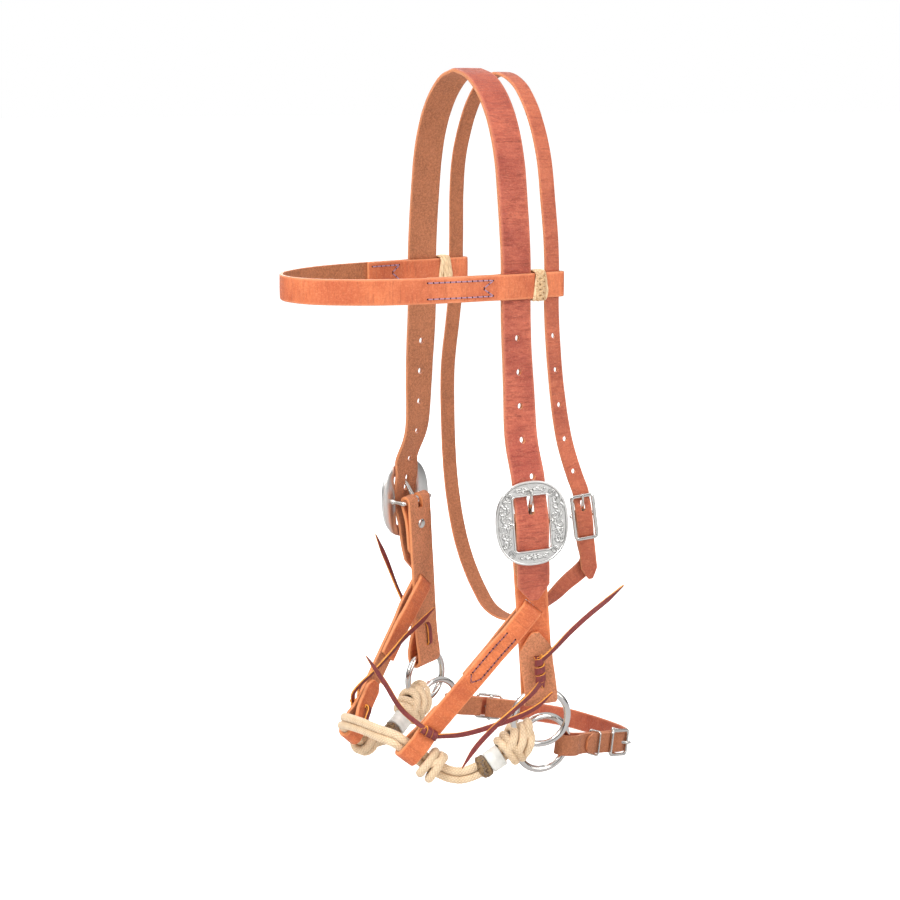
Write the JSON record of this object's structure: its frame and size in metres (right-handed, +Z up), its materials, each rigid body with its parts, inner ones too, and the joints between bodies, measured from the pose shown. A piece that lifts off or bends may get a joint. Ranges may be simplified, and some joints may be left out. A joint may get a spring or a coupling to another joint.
{
  "type": "bitless hackamore",
  "caption": "Bitless headstall of russet leather with a doubled-rope noseband, engraved cart buckles, ring cheeks and a buckled curb strap.",
  "frame": {"origin": "poll: inside face of the crown strap at the top of its arch, midway across", "axes": "+X to the wearer's left (near side), -Y to the front (the nose), +Z up along the cheeks"},
  "size_m": [0.22, 0.2893, 0.5622],
  "materials": {
    "crown_leather": "oiled russet grain",
    "harness_leather": "oiled russet grain",
    "rawhide": "braided, matt",
    "buckle_silver": "engraved satin nickel silver",
    "polished_nickel": "polished",
    "braided_rope": "braided nylon, matt",
    "white_tape": "matt wrap",
    "melted_rope": "melted, uneven",
    "thong_leather": "burgundy latigo, amber cut edges"
  },
  "bodies": {
    "headstall": {"crown_strap": "crown_leather", "browband": "harness_leather", "rawhide_tie_left": "rawhide", "rawhide_tie_right": "rawhide", "throatlatch_strap": "harness_leather", "throatlatch_buckle": "polished_nickel", "cheek_left": "harness_leather", "cheek_buckle_left": "buckle_silver", "cheek_rivet_left": "polished_nickel", "cheek_lace_left": "thong_leather", "noseband_hanger_left": "harness_leather", "hanger_lace_left": "thong_leather", "ring_knot_left": "braided_rope", "rope_whipping_left": "white_tape", "rope_end_left": "melted_rope", "nose_knot_left": "braided_rope", "cheek_right": "harness_leather", "cheek_buckle_right": "buckle_silver", "cheek_rivet_right": "polished_nickel", "cheek_lace_right": "thong_leather", "noseband_hanger_right": "harness_leather", "hanger_lace_right": "thong_leather", "ring_knot_right": "braided_rope", "rope_whipping_right": "white_tape", "rope_end_right": "melted_rope", "nose_knot_right": "braided_rope", "noseband_rope": "braided_rope"},
    "curb": {"curb_strap": "harness_leather", "curb_billet_left": "harness_leather", "curb_billet_right": "harness_leather", "curb_buckle_left": "polished_nickel", "curb_buckle_right": "polished_nickel", "curb_keeper_left": "polished_nickel", "curb_keeper_right": "polished_nickel"},
    "cheek_tongue_left": {"cheek_tongue_left": "polished_nickel"},
    "cheek_tongue_right": {"cheek_tongue_right": "polished_nickel"},
    "throatlatch_tongue": {"throatlatch_tongue": "polished_nickel"},
    "cheek_ring_left": {"cheek_ring_left": "polished_nickel"},
    "cheek_ring_right": {"cheek_ring_right": "polished_nickel"},
    "rein_ring_left": {"rein_ring_left": "polished_nickel"},
    "rein_ring_right": {"rein_ring_right": "polished_nickel"},
    "curb_tongue_left": {"curb_tongue_left": "polished_nickel"},
    "curb_tongue_right": {"curb_tongue_right": "polished_nickel"}
  },
  "joints": [
    {"name": "cheek_tongue_left_pivot", "type": "hinge", "parent": "headstall", "child": "cheek_tongue_left", "pos_m": [0.086, 0.001, -0.332], "axis": [0.3082, 0.9486, 0.0721], "range_deg": [0, 12]},
    {"name": "cheek_tongue_right_pivot", "type": "hinge", "parent": "headstall", "child": "cheek_tongue_right", "pos_m": [-0.086, 0.001, -0.351], "axis": [0.3082, -0.9486, -0.0721], "range_deg": [0, 12]},
    {"name": "throatlatch_tongue_pivot", "type": "hinge", "parent": "headstall", "child": "throatlatch_tongue", "pos_m": [0.089, 0.0485, -0.3335], "axis": [0.3579, 0.9246, 0.1302], "range_deg": [0, 7]},
    {"name": "cheek_ring_left_turn", "type": "hinge", "parent": "headstall", "child": "cheek_ring_left", "pos_m": [0.08932, 0.01189, -0.48939], "axis": [0.9511, -0.3089, -0.0013], "continuous": true},
    {"name": "rein_ring_left_turn", "type": "hinge", "parent": "headstall", "child": "rein_ring_left", "pos_m": [0.08181, 0.01889, -0.51389], "axis": [0.9903, -0.1392, 0], "continuous": true},
    {"name": "cheek_ring_right_turn", "type": "hinge", "parent": "headstall", "child": "cheek_ring_right", "pos_m": [-0.08932, 0.01189, -0.50839], "axis": [-0.9511, -0.3089, -0.0013], "continuous": true},
    {"name": "rein_ring_right_turn", "type": "hinge", "parent": "headstall", "child": "rein_ring_right", "pos_m": [-0.08181, 0.01889, -0.53289], "axis": [-0.9903, -0.1392, 0], "continuous": true},
    {"name": "curb_swing", "type": "hinge", "parent": "headstall", "child": "curb", "pos_m": [0, 0.03982, -0.52807], "axis": [0.9938, 0, 0.1114], "range_deg": [-8, 8]},
    {"name": "curb_tongue_left_pivot", "type": "hinge", "parent": "curb", "child": "curb_tongue_left", "pos_m": [0.06444, 0.09856, -0.53383], "axis": [0.1088, -0.2145, -0.9707], "range_deg": [0, 8]},
    {"name": "curb_tongue_right_pivot", "type": "hinge", "parent": "curb", "child": "curb_tongue_right", "pos_m": [-0.07352, 0.06828, -0.5426], "axis": [0.1088, -0.2145, -0.9707], "range_deg": [0, 8]}
  ]
}
